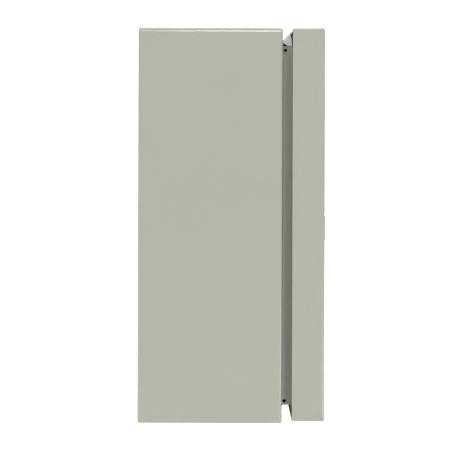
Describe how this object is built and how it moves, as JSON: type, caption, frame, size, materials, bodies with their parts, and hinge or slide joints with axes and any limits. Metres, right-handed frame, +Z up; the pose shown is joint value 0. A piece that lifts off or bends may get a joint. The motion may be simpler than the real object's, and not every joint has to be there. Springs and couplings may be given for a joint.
{
  "type": "wall-mounted switchboard cabinet",
  "caption": "Small wall-mounted steel switchboard cabinet with a hinged, sealed door and cam lock, holding rail-mounted breakers.",
  "frame": {"origin": "centre of the four wall fixing holes, on the outer face of the rear panel", "axes": "+Z up, the door faces -Y, +Y points into the wall, +X to the right as seen from the front"},
  "size_m": [0.25, 0.1431, 0.3074],
  "materials": {
    "cabinet_paint": "satin textured powder coat",
    "zinc_plated_steel": "satin zinc plating",
    "chromed_lock": "satin chrome",
    "seal_foam": "matte foam",
    "grey_rubber": "matte",
    "pale_rubber": "matte",
    "case_plastic": "satin",
    "switch_lever_plastic": "satin",
    "breaker_lever_plastic": "satin",
    "end_stop_plastic": "matte",
    "bar_brass": "satin",
    "neutral_support_plastic": "satin",
    "earth_support_plastic": "satin"
  },
  "bodies": {
    "cabinet": {"bar_support_screws": "zinc_plated_steel", "breaker_1_case": "case_plastic", "breaker_2_case": "case_plastic", "breaker_3_case": "case_plastic", "breaker_4_case": "case_plastic", "cabinet_earth_nut": "zinc_plated_steel", "cabinet_earth_stud": "zinc_plated_steel", "cabinet_earth_washer": "zinc_plated_steel", "cabinet_shell": "cabinet_paint", "cable_grommet_1": "grey_rubber", "cable_grommet_2": "grey_rubber", "cable_grommet_3": "grey_rubber", "din_rail": "zinc_plated_steel", "din_rail_screws": "zinc_plated_steel", "earth_bar": "bar_brass", "earth_bar_screws": "zinc_plated_steel", "earth_bar_supports": "earth_support_plastic", "gland_gasket": "seal_foam", "gland_plate": "cabinet_paint", "gland_plate_screws": "zinc_plated_steel", "gutter_end_plugs": "pale_rubber", "lower_hinge_fixed_leaf": "cabinet_paint", "main_switch_case": "case_plastic", "mounting_plate": "zinc_plated_steel", "neutral_bar": "bar_brass", "neutral_bar_screws": "zinc_plated_steel", "neutral_bar_supports": "neutral_support_plastic", "plate_nuts": "zinc_plated_steel", "plate_spacers": "zinc_plated_steel", "plate_studs": "zinc_plated_steel", "plate_washers": "zinc_plated_steel", "rail_end_stop_left": "end_stop_plastic", "rail_end_stop_right": "end_stop_plastic", "rain_gutter": "cabinet_paint", "rear_panel": "cabinet_paint", "terminal_screws": "zinc_plated_steel", "upper_hinge_fixed_leaf": "cabinet_paint"},
    "door": {"door_shell": "cabinet_paint", "door_gasket": "seal_foam", "upper_hinge_door_leaf": "cabinet_paint", "lower_hinge_door_leaf": "cabinet_paint", "upper_hinge_pin": "zinc_plated_steel", "lower_hinge_pin": "zinc_plated_steel", "hinge_pin_clips": "zinc_plated_steel", "door_earth_stud": "zinc_plated_steel", "door_earth_washer": "zinc_plated_steel", "door_earth_nut": "zinc_plated_steel", "lock_housing": "chromed_lock", "lock_seal": "seal_foam", "lock_nut": "zinc_plated_steel"},
    "lock_core": {"lock_spindle": "chromed_lock", "lock_cam": "zinc_plated_steel", "lock_cam_washer": "zinc_plated_steel", "lock_cam_screw": "zinc_plated_steel"},
    "breaker_1_lever": {"breaker_1_lever": "breaker_lever_plastic"},
    "breaker_2_lever": {"breaker_2_lever": "breaker_lever_plastic"},
    "breaker_3_lever": {"breaker_3_lever": "breaker_lever_plastic"},
    "breaker_4_lever": {"breaker_4_lever": "breaker_lever_plastic"},
    "main_switch_lever": {"main_switch_lever": "switch_lever_plastic"}
  },
  "joints": [
    {"name": "door_hinge", "type": "hinge", "parent": "cabinet", "child": "door", "pos_m": [0.1185, -0.118, 0], "axis": [0, 0, 1], "range_deg": [0, 110]},
    {"name": "lock_turn", "type": "hinge", "parent": "door", "child": "lock_core", "pos_m": [-0.085, -0.1415, 0], "axis": [0, 1, 0], "range_deg": [0, 90]},
    {"name": "breaker_1_toggle", "type": "hinge", "parent": "cabinet", "child": "breaker_1_lever", "pos_m": [0, -0.075, 0.032], "axis": [-1, 0, 0], "range_deg": [0, 76]},
    {"name": "breaker_2_toggle", "type": "hinge", "parent": "cabinet", "child": "breaker_2_lever", "pos_m": [0, -0.075, 0.032], "axis": [-1, 0, 0], "range_deg": [0, 76]},
    {"name": "breaker_3_toggle", "type": "hinge", "parent": "cabinet", "child": "breaker_3_lever", "pos_m": [0, -0.075, 0.032], "axis": [-1, 0, 0], "range_deg": [0, 76]},
    {"name": "breaker_4_toggle", "type": "hinge", "parent": "cabinet", "child": "breaker_4_lever", "pos_m": [0, -0.075, 0.032], "axis": [-1, 0, 0], "range_deg": [0, 76]},
    {"name": "main_switch_toggle", "type": "hinge", "parent": "cabinet", "child": "main_switch_lever", "pos_m": [0, -0.075, 0.032], "axis": [-1, 0, 0], "range_deg": [0, 76]}
  ]
}
